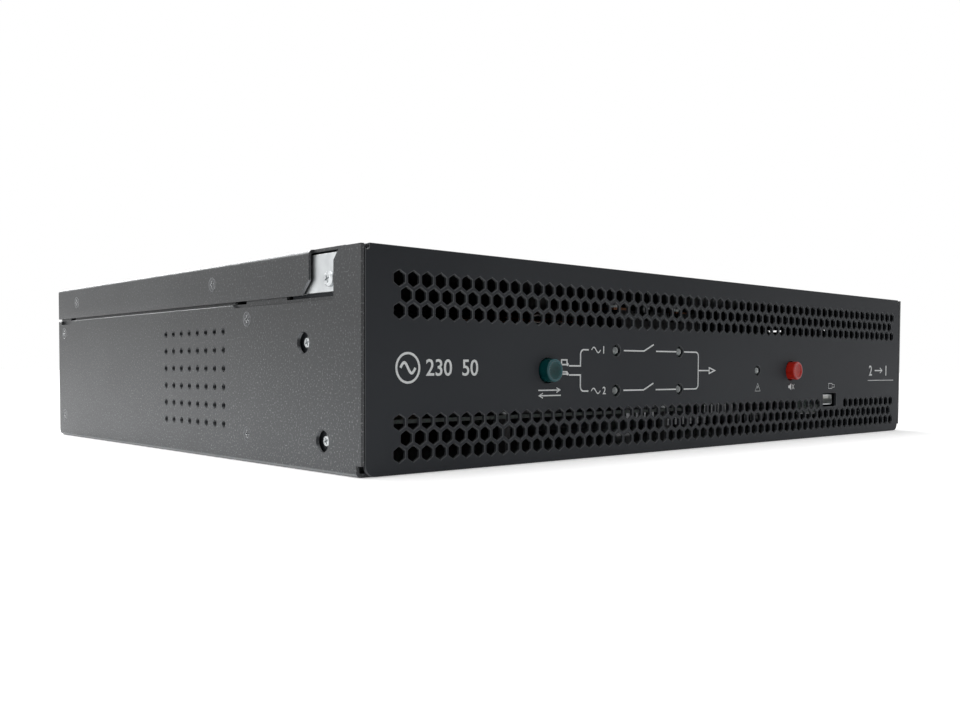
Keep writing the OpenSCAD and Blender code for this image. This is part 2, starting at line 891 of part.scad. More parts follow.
module capacitors() {
    color([0.12, 0.14, 0.18]) for (i = [0, 1], j = [0, 1]) {
        translate([cap_x + i*cap_step, back(control_box[2] + 34 + j*cap_step), deck_z]) difference() {
            cylinder(h=cap_h, r=cap_r);
            for (a = [0, 60, 120]) rotate([0, 0, a]) {
                translate([2 - cap_r, -0.25, cap_h - 0.4]) cube([2*cap_r - 4, 0.5, 1]);
            }
            translate([0, 0, 4]) rotate_extrude() translate([cap_r + 0.6, 0]) circle(1);
        }
    }
}

module board_parts() {
    chip_d = control_box[2] + 90;
    header_d = control_box[2] + 6;
    pole_d = control_box[3] - 6 - pole_l;
    color([0.15, 0.15, 0.16]) {
        // processor, drivers, pin header and the row of terminals
        block(chip_x, chip_x + chip_w, chip_d, chip_d + chip_w, deck_z, deck_z + 2.2);
        for (i = [0:2]) block(driver_x, driver_x + driver_w, chip_d - 2 + i*12, chip_d + 5 + i*12, deck_z, deck_z + 3);
        difference() {
            block(header_x, header_x + header_w, header_d, header_d + 9, deck_z, deck_z + 9);
            block(header_x + 1.5, header_x + header_w - 1.5, header_d + 1.5, header_d + 7.5, deck_z + 2, deck_z + 10);
        }
        for (i = [0:7]) block(pole_x + i*pole_w, pole_x + (i + 1)*pole_w - 1, pole_d, pole_d + pole_l, deck_z, deck_z + 12);
    }
}

// Flat cable from the front board down to the control board
module ribbon_cable() {
    turn_r = 8;
    start = board_back + board_t;
    low = deck_z + 2;
    high = 40;
    color([0.45, 0.47, 0.50]) along_x(ribbon_x, ribbon_x + ribbon_w) {
        translate([start, high - 3]) square([7, 6]);
        translate([start + 7 - eps, high - 0.5]) square([38.5 - turn_r - start - 7 + 2*eps, 1]);
        translate([38.5 - turn_r, high - turn_r]) intersection() {
            difference() {
                circle(turn_r + 0.5);
                circle(turn_r - 0.5);
            }
            square(turn_r + 1);
        }
        translate([38, low + 6 - eps]) square([1, high - turn_r - low - 6 + 2*eps]);
        translate([35.8, low]) square([5.4, 6]);
    }
}

// Power parts

module heatsink() {
    gap = (sink_w - 2*leg_t - fin_count*fin_t)/(fin_count + 1);
    color([0.72, 0.73, 0.75]) difference() {
        along_y(sink_front, sink_back) translate([sink_x, 0]) {
            translate([0, sink_z - sink_base]) square([sink_w, sink_base]);
            for (x = [0, sink_w - leg_t]) translate([x, wall_t]) square([leg_t, sink_z - wall_t - 1]);
            for (i = [1:fin_count]) translate([leg_t + i*gap + (i - 1)*fin_t, 6]) {
                square([fin_t, sink_z - sink_base - 5]);
            }
            translate([-9, wall_t]) square([9 + eps, 3]);
        }
        for (d = [sink_front + 12, sink_back - 12]) translate([sink_x - 5, back(d), 0]) cylinder(h=6, r=2.2);
    }
}

module thyristor(i) {
    x0 = module_x[i];
    d = module_back[i];
    difference() {
        union() {
            block(x0, x0 + module_l, d - module_w/2, d + module_w/2, sink_z, sink_z + 4);
            block(x0 + 5, x0 + module_l - 5, d - module_w/2 + 2, d + module_w/2 - 2, sink_z, sink_z + module_h - 6);
            for (k = [0:2]) {
                x = x0 + 15 + k*terminal_step;
                block(x - 10, x + 10, d - module_w/2 + 5, d + module_w/2 - 5, sink_z, bar_z);
            }
        }
        for (k = [0:2]) translate([x0 + 15 + k*terminal_step, back(d), bar_z - 9]) cylinder(h=10, r=2.5);
        for (x = [x0 + 2.6, x0 + module_l - 2.6]) translate([x, back(d), sink_z - 1]) cylinder(h=6, r=1.6);
    }
}

module thyristor_1() {
    color([0.12, 0.12, 0.13]) thyristor(0);
}

module thyristor_2() {
    color([0.12, 0.12, 0.13]) thyristor(1);
}

// Step from the module height down to a breaker's upper terminal
module breaker_drop(x) {
    along_x(x - bar_w/2, x + bar_w/2) {
        translate([breaker_front - 6, breaker_high]) square([bar_t, bar_z + bar_t - breaker_high]);
        translate([breaker_front - 6, breaker_high]) square([6, bar_t]);
    }
}

module screw_clear(i, k) {
    translate([module_x[i] + 15 + k*terminal_step, back(module_back[i]), bar_z - 1]) cylinder(h=bar_t + 2, r=2.5);
}

module input_bar_1() {
    x = module_x[0] + 15;
    color([0.72, 0.42, 0.24]) difference() {
        union() {
            block(x - bar_w/2, x + bar_w/2, module_back[0] - 6, breaker_front - 5, bar_z, bar_z + bar_t);
            breaker_drop(breaker_x[0]);
        }
        screw_clear(0, 0);
    }
}

module input_bar_2() {
    x = module_x[1] + 15 + 2*terminal_step;
    turn_d = breaker_front - 6 - bar_w;
    color([0.72, 0.42, 0.24]) difference() {
        union() {
            block(x - bar_w/2, x + bar_w/2, module_back[1] - 6, turn_d + bar_w, bar_z, bar_z + bar_t);
            block(breaker_x[1] - bar_w/2, x, turn_d, turn_d + bar_w, bar_z, bar_z + bar_t);
            block(breaker_x[1] - bar_w/2, breaker_x[1] + bar_w/2, turn_d, breaker_front - 5, bar_z, bar_z + bar_t);
            breaker_drop(breaker_x[1]);
        }
        screw_clear(1, 2);
    }
}

module output_bar() {
    x0 = module_x[0] + 15 + 2*terminal_step;
    x1 = module_x[1] + 15;
    drop_d = sink_back + 7;
    x_end = gland_x[2] + 10;
    color([0.72, 0.42, 0.24]) difference() {
        union() {
            block(x0 - bar_w/2, x0 + bar_w/2, module_back[0] - 6, drop_d + bar_t, bar_z, bar_z + bar_t);
            block(x0, x1 + bar_w/2, module_back[1] - 6, module_back[1] + 6, bar_z, bar_z + bar_t);
            block(x0 - bar_w/2, x0 + bar_w/2, drop_d, drop_d + bar_t, block_h, bar_z + bar_t);
            block(x_end - bar_w/2, x0 + bar_w/2, drop_d, drop_d + bar_w, block_h, block_h + bar_t);
            block(x_end - bar_w/2, x_end + bar_w/2, drop_d, block_front + 8, block_h, block_h + bar_t);
        }
        screw_clear(0, 2);
        screw_clear(1, 0);
    }
}

// Ring core clipped on the output bar
module current_sensor() {
    d = sink_back + 7 + bar_w/2;
    z = block_h + bar_t/2;
    color([0.10, 0.20, 0.42]) difference() {
        rod_x(d, z, sensor_x[0], sensor_x[1], sensor_r);
        block(sensor_x[0] - 1, sensor_x[1] + 1, d - bar_w/2 - 0.3, d + bar_w/2 + 0.3, z - bar_t/2 - 0.3, z + bar_t/2 + 0.3);
        for (x = sensor_x) translate([x, back(d), z]) rotate([0, 90, 0]) {
            rotate_extrude() translate([sensor_r, 0]) rotate(45) square(1.2, center=true);
        }
    }
}

// Wire that leaves the terminal block, runs across and enters a breaker
module wire(x0, x1, run_d, r) {
    z = breaker_low;
    bend = 6;
    rod_y(x0, z, run_d + bend, block_front, r);
    rod_y(x1, z, run_d + bend, breaker_front, r);
    rod_x(run_d, z, x0 + bend, x1 - bend, r);
    translate([x0 + bend, back(run_d + bend), z]) rotate([0, 0, 180]) rotate_extrude(angle=90) translate([bend, 0]) circle(r);
    translate([x1 - bend, back(run_d + bend), z]) rotate([0, 0, 270]) rotate_extrude(angle=90) translate([bend, 0]) circle(r);
}

module power_cables() {
    color([0.45, 0.10, 0.08]) {
        wire(gland_x[0] + 4, breaker_x[0] - 8, wire_runs[0], wire_r);
        wire(gland_x[1] + 4, breaker_x[1] - 8, wire_runs[1], wire_r);
    }
}

module terminal_block() {
    x0 = gland_x[2] - 12;
    poles = 8;
    pitch = (gland_x[0] + 18 - x0)/poles;
    color([0.08, 0.09, 0.09]) difference() {
        block(x0, gland_x[0] + 18, block_front, block_front + block_l, wall_t, block_h);
        for (i = [0:poles - 1]) {
            x = x0 + (i + 0.5)*pitch;
            rod_y(x, 14, block_front + 8, block_front + block_l + 1, 4.2);
            translate([x, back(block_front + block_l - 7), block_h - 6]) cylinder(h=7, r=3.6);
        }
    }
}

// Rear panel fittings

module breaker(i) {
    x = breaker_x[i];
    z0 = breaker_z - breaker_h/2;
    nose_w = breaker_w - 7;
    nose_h = breaker_h - 11;
    difference() {
        union() {
            block(x - breaker_w/2, x + breaker_w/2, breaker_front, rear_in, z0, z0 + breaker_h);
            block(x - nose_w/2, x + nose_w/2, rear_in - eps, body_d + 2.5, breaker_z - nose_h/2, breaker_z + nose_h/2);
        }
        // slot for the handle
        rod_x(handle_back - 5, handle_z, x - 9, x + 9, 8.5);
        for (sx = [-1, 1], sz = [-1, 1]) rod_y(x + sx*(nose_w/2 - 3), breaker_z + sz*(nose_h/2 - 4), body_d + 1.5, body_d + 3, 1.4);
        rod_x(handle_back - 5, handle_z, x - 12, x + 12, 2 + handle_clear);
    }
}

module breaker_1() {
    color([0.10, 0.10, 0.11]) breaker(0);
}

module breaker_2() {
    color([0.10, 0.10, 0.11]) breaker(1);
}

// Drum on its pin, with a flared paddle turned up by half the swing
module breaker_handle(i) {
    x = breaker_x[i];
    rod_x(handle_back - 5, handle_z, x - 11.5, x + 11.5, 2);
    rod_x(handle_back - 5, handle_z, x - 8.4, x + 8.4, 7.6);
    translate([x - 7, back(handle_back - 5), handle_z]) rotate([90, 0, 90]) rotate(handle_swing/2) {
        linear_extrude(14) polygon([[5, -2.4], [11, -1.8], [16, -2.8], [16, 2.8], [11, 1.8], [5, 2.4]]);
    }
}

module breaker_handle_1() {
    color([0.85, 0.86, 0.84]) breaker_handle(0);
}

module breaker_handle_2() {
    color([0.85, 0.86, 0.84]) breaker_handle(1);
}

module gland_body(i) {
    face = rear_in + panel_t;
    translate([gland_x[i], back(face), gland_z]) rotate([-90, 0, 0]) difference() {
        union() {
            translate([0, 0, -13]) cylinder(h=13 + eps, r=gland_thread_r);
            cylinder(h=5, r=gland_hex/2/cos(30), $fn=6);
            cylinder(h=13, r=gland_thread_r - 1);
        }
        translate([0, 0, -14]) cylinder(h=28, r=gland_bore/2);
    }
}

module gland_body_1() {
    color([0.08, 0.08, 0.09]) gland_body(0);
}

module gland_body_2() {
    color([0.08, 0.08, 0.09]) gland_body(1);
}

module gland_body_3() {
    color([0.08, 0.08, 0.09]) gland_body(2);
}

module gland_domes() {
    face = rear_in + panel_t;
    reach = body_d + gland_out - face;
    color([0.09, 0.09, 0.10]) for (x = gland_x) translate([x, back(face), gland_z]) rotate([-90, 0, 0]) {
        difference() {
            union() {
                translate([0, 0, 5.3]) cylinder(h=8.7, r=(gland_hex - 2)/2/cos(30), $fn=6);
                translate([0, 0, 13]) cylinder(h=reach - 17, r=gland_hex/2 - 1.4);
                translate([0, 0, reach - 4 - eps]) cylinder(h=4 + eps, r1=gland_hex/2 - 1.4, r2=gland_hex/2 - 4);
            }
            translate([0, 0, 5]) cylinder(h=8.6, r=gland_thread_r - 0.8);
            translate([0, 0, 5]) cylinder(h=reach, r=gland_bore/2);
        }
    }
}

module gland_locknuts() {
    color([0.09, 0.09, 0.10]) for (x = gland_x) translate([x, back(rear_in), gland_z]) rotate([90, 0, 0]) {
        difference() {
            cylinder(h=5, r=gland_hex/2/cos(30), $fn=6);
            translate([0, 0, -1]) cylinder(h=7, r=gland_thread_r + 0.1);
        }
    }
}

module fan_frame(side) {
    x = side*fan_x;
    stator_d = fan_front + fan_l - 3.6;
    difference() {
        union() {
            along_y(fan_front, rear_in) translate([x, fan_z]) difference() {
                round_rect(fan_size, fan_size, 4);
                circle(fan_r);
                fan_holes();
            }
            rod_y(x, fan_z, stator_d, rear_in, hub_r);
            for (a = [30:90:359]) translate([x, back(rear_in), fan_z]) rotate([90, 0, 0]) rotate([0, 0, a]) {
                translate([hub_r - 1, -1.4, 0]) cube([fan_r - hub_r + 1.6, 2.8, 3]);
            }
        }
        rod_y(x, fan_z, stator_d - 1, rear_in - 0.8, shaft_r + shaft_clear);
    }
}

module fan_rotor(side) {
    x = side*fan_x;
    hub_front = fan_front + 1.5;
    hub_back = fan_front + fan_l - 4;
    tip = fan_r - blade_gap;
    translate([x, back(hub_back), fan_z]) rotate([90, 0, 0]) {
        difference() {
            cylinder(h=hub_back - hub_front, r=hub_r);
            translate([0, 0, hub_back - hub_front - 0.6]) cylinder(h=1, r=hub_r - 2);
        }
        translate([0, 0, -2.4]) cylinder(h=3, r=shaft_r);
        // each blade is a curved strip, leaned back from the hub to the tip
        for (i = [0:blade_count - 1]) rotate([0, 0, i*360/blade_count]) intersection() {
            translate([0, 0, 1]) linear_extrude(hub_back - hub_front - 2) difference() {
                circle(tip);
                circle(hub_r - 1);
            }
            rotate([90, 0, 90]) linear_extrude(tip + 1) translate([0, 1]) {
                difference() {
                    translate([-10, 20]) circle(22);
                    translate([-11.2, 21]) circle(21.6);
                    translate([-40, -5]) square([32, 60]);
                    translate([-40, 18]) square([60, 40]);
                }
            }
        }
    }
}

module fan_frame_1() {
    color([0.07, 0.07, 0.08]) fan_frame(1);
}

module fan_frame_2() {
    color([0.07, 0.07, 0.08]) fan_frame(-1);
}

module fan_rotor_1() {
    color([0.10, 0.10, 0.11]) fan_rotor(1);
}

module fan_rotor_2() {
    color([0.10, 0.10, 0.11]) fan_rotor(-1);
}

// Two appliance outlets snapped in from behind
module outlets() {
    color([0.06, 0.06, 0.07]) for (z = outlet_z) difference() {
        union() {
            along_y(rear_in - 22, rear_in + eps) translate([outlet_x, z]) round_rect(outlet_w - 2*seat, outlet_h - 2*seat, 1.5);
            along_y(rear_in + panel_t, rear_in + panel_t + 2.2) translate([outlet_x, z]) round_rect(outlet_w + 2*outlet_rim, outlet_h + 2*outlet_rim, 2);
            along_y(rear_in, rear_in + panel_t + eps) translate([outlet_x, z]) round_rect(outlet_w - 2*seat, outlet_h - 2*seat, 1.5);
        }
        along_y(rear_in - 10, rear_in + panel_t + 3) translate([outlet_x, z]) {
            translate([0, 4.5]) square([2.6, pin_gap], center=true);
            for (x = [-pin_gap, pin_gap]) translate([x, -2.5]) square([2.6, pin_gap], center=true);
        }
    }
}

module card_plate() {
    color([0.75, 0.76, 0.77]) along_y(rear_in + panel_t, rear_in + panel_t + 1.2) {
        translate([card_x, card_z]) difference() {
            round_rect(card_w, card_h, 1);
            for (side = [-1, 1]) translate([side*(card_w/2 - 2.5), 0]) circle(1.6);
        }
    }
}

module earth_stud() {
    face = rear_in + panel_t;
    color([0.80, 0.74, 0.45]) translate([stud_x, back(face), stud_z]) rotate([-90, 0, 0]) {
        translate([0, 0, -6]) cylinder(h=20, r=stud_r);
        cylinder(h=1, r=6.2);
        translate([0, 0, 1 - eps]) cylinder(h=4.5, r=5/cos(30), $fn=6);
        translate([0, 0, -panel_t - 4]) cylinder(h=4, r=5/cos(30), $fn=6);
    }
}

chassis();
top_cover();
front_panel();
front_flanges();
rear_panel();
rear_flanges();
left_bracket();
right_bracket();
countersunk_screws();
pan_screws();
mimic_print();
transfer_button();
transfer_plunger();
transfer_switch();
silence_button();
silence_plunger();
silence_switch();
led_source_1();
led_source_2();
led_output_1();
led_output_2();
led_fault();
front_board();
front_pillars();
usb_shell();
usb_tongue();
buzzer();
control_board();
board_pillars();
transformers();
relays();
capacitors();
board_parts();
ribbon_cable();
heatsink();
thyristor_1();
thyristor_2();
input_bar_1();
input_bar_2();
output_bar();
current_sensor();
power_cables();
terminal_block();
breaker_1();
breaker_2();
breaker_handle_1();
breaker_handle_2();
gland_body_1();
gland_body_2();
gland_body_3();
gland_domes();
gland_locknuts();
fan_frame_1();
fan_frame_2();
fan_rotor_1();
fan_rotor_2();
outlets();
card_plate();
earth_stud();
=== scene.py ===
import bpy, bmesh, json, math
from mathutils import Euler, Matrix, Vector


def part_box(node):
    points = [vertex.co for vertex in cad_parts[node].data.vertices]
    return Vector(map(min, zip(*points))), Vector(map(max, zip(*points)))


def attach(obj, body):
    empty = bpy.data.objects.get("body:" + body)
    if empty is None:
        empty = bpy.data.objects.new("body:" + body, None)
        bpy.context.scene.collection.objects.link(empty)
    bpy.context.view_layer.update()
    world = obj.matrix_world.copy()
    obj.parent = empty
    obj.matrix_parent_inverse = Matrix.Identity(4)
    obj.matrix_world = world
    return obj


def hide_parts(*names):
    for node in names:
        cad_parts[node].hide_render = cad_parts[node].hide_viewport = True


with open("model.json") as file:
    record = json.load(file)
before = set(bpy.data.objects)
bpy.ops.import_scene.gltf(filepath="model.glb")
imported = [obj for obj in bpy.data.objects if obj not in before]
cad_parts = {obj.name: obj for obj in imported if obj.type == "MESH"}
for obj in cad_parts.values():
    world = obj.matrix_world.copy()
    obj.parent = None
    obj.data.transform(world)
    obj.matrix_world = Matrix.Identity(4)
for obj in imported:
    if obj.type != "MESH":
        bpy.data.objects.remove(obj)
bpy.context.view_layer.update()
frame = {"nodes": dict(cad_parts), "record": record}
mm = 0.001
nodes = frame["nodes"]
print("frame loaded:", len(nodes), "nodes")

# The panel's face plane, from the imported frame
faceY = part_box("front_panel")[0][1]


# Shader helpers: a value that takes part in Python maths, and a finish that adds nodes

class Value:
    def __init__(self, finish, socket):
        self.finish, self.socket = finish, socket

    def maths(self, operation, *values):
        return self.finish.add("ShaderNodeMath", {"operation": operation}, dict(enumerate(values)))

    def __add__(self, other): return self.maths("ADD", self, other)
    def __radd__(self, other): return self.maths("ADD", other, self)
    def __sub__(self, other): return self.maths("SUBTRACT", self, other)
    def __rsub__(self, other): return self.maths("SUBTRACT", other, self)
    def __mul__(self, other): return self.maths("MULTIPLY", self, other)
    def __rmul__(self, other): return self.maths("MULTIPLY", other, self)
    def __pow__(self, other): return self.maths("POWER", self, other)


class Finish:
    def __init__(self, name, **sockets):
        self.material = bpy.data.materials.new(name)
        self.material.use_nodes = True
        self.tree = self.material.node_tree
        self.surface = self.tree.nodes["Principled BSDF"]
        self.set(**sockets)

    # baseColor="..." sets the socket Base Color, by a number, a colour or a link
    def set(self, **sockets):
        for name, value in sockets.items():
            label = "".join(" " + c if c.isupper() else c for c in name).title()
            self.feed(self.surface.inputs[label.replace("Ior", "IOR")], value)

    def feed(self, socket, value):
        if isinstance(value, Value):
            self.tree.links.new(value.socket, socket)
        elif isinstance(value, tuple) and len(value) == 3 and socket.type == "RGBA":
            socket.default_value = (*value, 1)
        else:
            socket.default_value = value

    def add(self, kind, settings, inputs, output=0):
        node = self.tree.nodes.new(kind)
        for name, value in settings.items():
            if name == "stops":
                while len(node.color_ramp.elements) < len(value):
                    node.color_ramp.elements.new(0.5)
                for element, (place, colour) in zip(node.color_ramp.elements, value):
                    element.position = place
                    element.color = (*colour, 1) if isinstance(colour, tuple) else (colour,) * 3 + (1,)
            else:
                setattr(node, name, value)
        for name, value in inputs.items():
            self.feed(node.inputs[name], value)
        return Value(self, node.outputs[output])

    def place(self):
        return self.add("ShaderNodeTexCoord", {}, {}, "Object")

    # grey value by height over the floor, as (height, value) stops
    def height(self, *stops):
        top = 100 * mm
        level = self.add("ShaderNodeSeparateXYZ", {}, {"Vector": self.place()}, "Z") * (1 / top)
        return self.ramp(level, *[(place / top, value) for place, value in stops])

    def noise(self, size, detail=2, roughness=0.5, vector=None):
        inputs = {"Vector": vector or self.place(), "Scale": 1 / size, "Detail": detail, "Roughness": roughness}
        return self.add("ShaderNodeTexNoise", {}, inputs, "Fac")

    # 1 on chamfers and bends, whose normals lean between the axes, 0 on flat faces; the paints use it as the mask
    # of a painted highlight on edges
    def edges(self):
        normal = self.add("ShaderNodeTexCoord", {}, {}, "Normal")
        size = self.add("ShaderNodeVectorMath", {"operation": "ABSOLUTE"}, {0: normal})
        split = self.add("ShaderNodeSeparateXYZ", {}, {"Vector": size})
        x, y, z = [Value(self, socket) for socket in split.socket.node.outputs]
        return self.ramp(x.maths("MAXIMUM", x.maths("MAXIMUM", x, y), z), (0.86, 1.0), (0.97, 0.0))

    def ramp(self, value, *stops):
        return self.add("ShaderNodeValToRGB", {"stops": stops}, {"Fac": value})

    def mix(self, factor, a, b, blend="MIX"):
        inputs = {0: factor, 6: a, 7: b}
        return self.add("ShaderNodeMix", {"data_type": "RGBA", "blend_type": blend}, inputs, 2)

    def bump(self, height, distance, strength=1):
        inputs = {"Height": height, "Distance": distance, "Strength": strength}
        self.set(normal=self.add("ShaderNodeBump", {}, inputs))
        return self


def texturedPaint():
    # edge is the colour of a painted highlight on chamfers, bends and hole walls
    look = {"base": (0.058, 0.061, 0.064), "light": (0.17, 0.175, 0.18), "edge": (0.30, 0.31, 0.32),
            "grain": 0.55 * mm, "speck": 0.8 * mm}
    f = Finish("texturedPaint", specularIorLevel=0.3)
    grain = f.noise(look["grain"], 3, 0.6)
    specks = f.ramp(f.noise(look["speck"], 1), (0.58, 0.0), (0.72, 1.0))
    cloud = f.ramp(f.noise(60 * mm, 2), (0.3, 0.88), (0.7, 1.12))
    colour = f.mix(specks, look["base"], look["light"])
    colour = f.mix(1.0, colour, cloud, "MULTIPLY")
    # painted shade and light: lighter near the floor and darker towards the top, standing in for light from the
    # floor
    shade = f.height((0.0, 1.45), (30 * mm, 1.0), (62 * mm, 0.62), (88 * mm, 0.66))
    colour = f.mix(1.0, colour, shade, "MULTIPLY")
    # painted highlight: chamfers, bends and hole walls take the lighter edge colour, as if catching the light
    f.set(baseColor=f.mix(f.edges() * 0.8, colour, look["edge"]), roughness=0.34 + grain * 0.14)
    return f.bump(grain, 0.07 * mm, 0.6)


def panelPaint():
    # edge is the colour of a painted highlight on the hex rims and chamfers
    look = {"low": (0.0305, 0.0330, 0.0375), "high": (0.0365, 0.0395, 0.0440), "edge": (0.11, 0.115, 0.12)}
    f = Finish("panelPaint", specularIorLevel=0.1)
    grain = f.noise(0.35 * mm, 2)
    cloud = f.ramp(f.noise(90 * mm, 1), (0.3, look["low"]), (0.7, look["high"]))
    # painted shade and light: lighter near the floor, darker towards the top
    shade = f.height((0.0, 1.2), (40 * mm, 1.05), (86 * mm, 0.75))
    colour = f.mix(1.0, cloud, shade, "MULTIPLY")
    # painted highlight: chamfers and hex rims take the lighter edge colour
    f.set(baseColor=f.mix(f.edges(), colour, look["edge"]), roughness=0.5 + grain * 0.1)
    return f.bump(grain, 0.02 * mm, 0.5)


def zinc():
    f = Finish("zinc", metallic=1)
    spangle = f.noise(7 * mm, 2, 0.6)
    scratch = f.noise(0.5 * mm, 2)
    f.set(baseColor=f.ramp(spangle, (0.35, (0.52, 0.54, 0.55)), (0.65, (0.62, 0.64, 0.65))))
    f.set(roughness=0.26 + spangle * 0.12 + scratch * 0.06)
    return f.bump(scratch, 0.02 * mm, 0.4)


def screwBlack():
    f = Finish("screwBlack", metallic=0.85)
    grain = f.noise(0.6 * mm, 2)
    colour = f.ramp(grain, (0.3, (0.05, 0.052, 0.055)), (0.75, (0.14, 0.145, 0.15)))
    # painted highlight: the head's chamfers take a pale grey, a bright ring round each screw
    f.set(baseColor=f.mix(f.edges(), colour, (0.55, 0.56, 0.57)), roughness=0.3 + grain * 0.2)
    return f.bump(grain, 0.03 * mm, 0.5)


def ink():
    f = Finish("ink")
    grain = f.noise(0.4 * mm, 2)
    f.set(baseColor=f.ramp(grain, (0.3, (0.66, 0.68, 0.68)), (0.7, (0.82, 0.84, 0.84))))
    f.set(roughness=0.45 + grain * 0.15)
    return f.bump(grain, 0.01 * mm, 0.4)


# Clear coloured cap: deep on the skirt, paler and milky on its front disc
def buttonPlastic(name, deep, bright, disc):
    f = Finish(name, specularIorLevel=0.1, coatRoughness=0.06, ior=1.49)
    cloud = f.noise(4 * mm, 2)
    depth = f.add("ShaderNodeSeparateXYZ", {}, {"Vector": f.place()}, "Y") * (-1 / mm) + faceY / mm
    front = f.ramp(depth * 0.1, (0.395, 0.0), (0.425, 1.0))
    skirt = f.ramp(cloud, (0.3, deep), (0.75, bright))
    f.set(baseColor=f.mix(front, skirt, disc), coatWeight=0.15 + front * 0.3, roughness=0.16 + cloud * 0.08)
    return f.bump(f.noise(1.5 * mm, 1), 0.01 * mm, 0.3)


def greenButton():
    return buttonPlastic("greenButton", (0.001, 0.034, 0.036), (0.002, 0.058, 0.060), (0.006, 0.072, 0.085))


def redButton():
    return buttonPlastic("redButton", (0.38, 0.012, 0.006), (0.52, 0.022, 0.012), (0.44, 0.020, 0.018))


def mouldedPlastic(name, dark, light, roughness, grainSize=0.6):
    f = Finish(name)
    grain = f.noise(grainSize * mm, 3)
    cloud = f.noise(25 * mm, 2)
    f.set(baseColor=f.ramp(cloud, (0.3, dark), (0.7, light)), roughness=roughness + grain * 0.12)
    return f.bump(grain, 0.04 * mm, 0.6)


def blackPlastic():
    return mouldedPlastic("blackPlastic", (0.018, 0.018, 0.02), (0.03, 0.03, 0.033), 0.42)


def whiteNylon():
    return mouldedPlastic("whiteNylon", (0.62, 0.62, 0.58), (0.72, 0.72, 0.69), 0.4)


def lightLens():
    f = Finish("lightLens", coatWeight=1.0, coatRoughness=0.04, ior=1.5)
    depth = f.noise(2.5 * mm, 1)
    f.set(baseColor=f.ramp(depth, (0.35, (0.05, 0.065, 0.065)), (0.7, (0.20, 0.23, 0.23))))
    f.set(roughness=0.12 + depth * 0.08)
    return f


# Dark solder mask with fine tracks; the front board carries a tinned row along its lower edge
def boardGreen():
    look = {"mask": (0.008, 0.028, 0.020), "track": (0.02, 0.07, 0.045), "tin": (0.34, 0.35, 0.35), "row": 0.7 * mm}
    f = Finish("boardGreen", coatWeight=0.3, coatRoughness=0.2)
    tracks = f.add("ShaderNodeTexVoronoi", {"distance": "MANHATTAN", "feature": "F1"},
                   {"Vector": f.place(), "Scale": 1 / (6 * mm)}, "Distance")
    lines = f.ramp(tracks, (0.30, 0.0), (0.34, 1.0), (0.40, 1.0), (0.44, 0.0))
    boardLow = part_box("front_board")[0][2]
    level = (f.add("ShaderNodeSeparateXYZ", {}, {"Vector": f.place()}, "Z") - boardLow) * (1 / look["row"])
    row = f.ramp(level * 0.1 + 0.5, (0.495, 0.0), (0.505, 1.0), (0.595, 1.0), (0.605, 0.0))
    f.set(baseColor=f.mix(row, f.mix(lines, look["mask"], look["track"]), look["tin"]), roughness=0.45)
    return f.bump(lines, 0.03 * mm, 0.5)


def transformerIron():
    f = Finish("transformerIron", metallic=0.4)
    stack = f.add("ShaderNodeTexWave", {"bands_direction": "Y"},
              {"Vector": f.place(), "Scale": 1 / (3 * mm), "Distortion": 0.3}, "Fac")
    f.set(baseColor=f.ramp(stack, (0.2, (0.07, 0.055, 0.035)), (0.8, (0.22, 0.17, 0.11))), roughness=0.5)
    return f.bump(stack, 0.1 * mm, 0.6)


def capacitorSleeve():
    f = Finish("capacitorSleeve", coatWeight=0.3)
    cloud = f.noise(9 * mm, 1)
    f.set(baseColor=f.ramp(cloud, (0.4, (0.02, 0.03, 0.06)), (0.6, (0.04, 0.05, 0.10))))
    f.set(roughness=0.3 + cloud * 0.1)
    return f


def heatsinkAluminium():
    f = Finish("heatsinkAluminium", metallic=1)
    drawn = f.add("ShaderNodeMapping", {}, {"Vector": f.place(), "Scale": (1, 0.02, 1)})
    streak = f.noise(0.8 * mm, 2, 0.5, drawn)
    f.set(baseColor=f.ramp(streak, (0.3, (0.50, 0.51, 0.53)), (0.7, (0.70, 0.71, 0.73))))
    f.set(roughness=0.3 + streak * 0.15)
    return f.bump(streak, 0.02 * mm, 0.5)


def copper():
    f = Finish("copper", metallic=1)
    stain = f.noise(12 * mm, 4, 0.6)
    # dark overall: painted shade for the copper inside the box; the stains are random tone
    f.set(baseColor=f.ramp(stain, (0.35, (0.30, 0.13, 0.07)), (0.7, (0.46, 0.24, 0.15))))
    f.set(roughness=0.22 + stain * 0.2)
    return f.bump(f.noise(0.6 * mm, 2), 0.02 * mm, 0.4)


def sensorBlue():
    return mouldedPlastic("sensorBlue", (0.02, 0.05, 0.16), (0.035, 0.08, 0.24), 0.35)


def wireRed():
    return mouldedPlastic("wireRed", (0.22, 0.015, 0.012), (0.34, 0.03, 0.02), 0.4)


def ribbonGrey():
    f = Finish("ribbonGrey")
    cores = f.add("ShaderNodeTexWave", {"bands_direction": "X", "wave_profile": "SIN"},
              {"Vector": f.place(), "Scale": 1 / (8 * mm)}, "Fac")
    f.set(baseColor=f.ramp(cores, (0.1, (0.16, 0.17, 0.19)), (0.9, (0.34, 0.35, 0.37))), roughness=0.5)
    return f.bump(cores, 0.3 * mm, 0.8)


def earthBrass():
    f = Finish("earthBrass", metallic=1)
    stain = f.noise(4 * mm, 3)
    f.set(baseColor=f.ramp(stain, (0.3, (0.55, 0.42, 0.16)), (0.7, (0.78, 0.62, 0.30))))
    f.set(roughness=0.25 + stain * 0.15)
    return f.bump(f.noise(0.5 * mm, 2), 0.02 * mm, 0.4)


